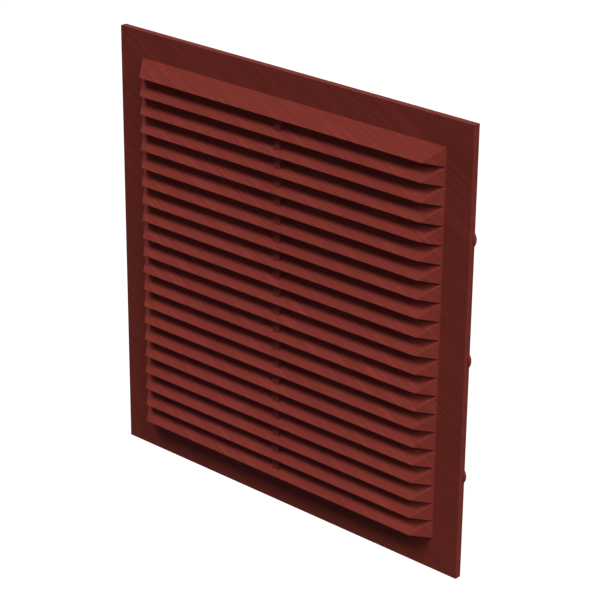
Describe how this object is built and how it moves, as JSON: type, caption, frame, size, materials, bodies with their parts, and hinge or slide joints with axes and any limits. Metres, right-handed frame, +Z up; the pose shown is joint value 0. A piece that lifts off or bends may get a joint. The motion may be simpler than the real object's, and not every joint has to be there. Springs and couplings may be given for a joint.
{
  "type": "vent grille",
  "caption": "Near-square plastic wall vent grille: a flat plate with a bank of sloped louvres with hipped ends, tied by an upright rib at mid width, and round lugs on its side edges.",
  "frame": {"origin": "centre of the plate's outline, on the back plane that lies on the wall", "axes": "+Z up, +X to the right as seen from the front, +Y into the wall; the louvres stand out towards -Y"},
  "size_m": [0.2454, 0.0141, 0.25],
  "materials": {
    "grille_plastic": "fine satin moulding, brick red"
  },
  "bodies": {
    "root": {"louvre_grille": "grille_plastic"}
  },
  "joints": []
}
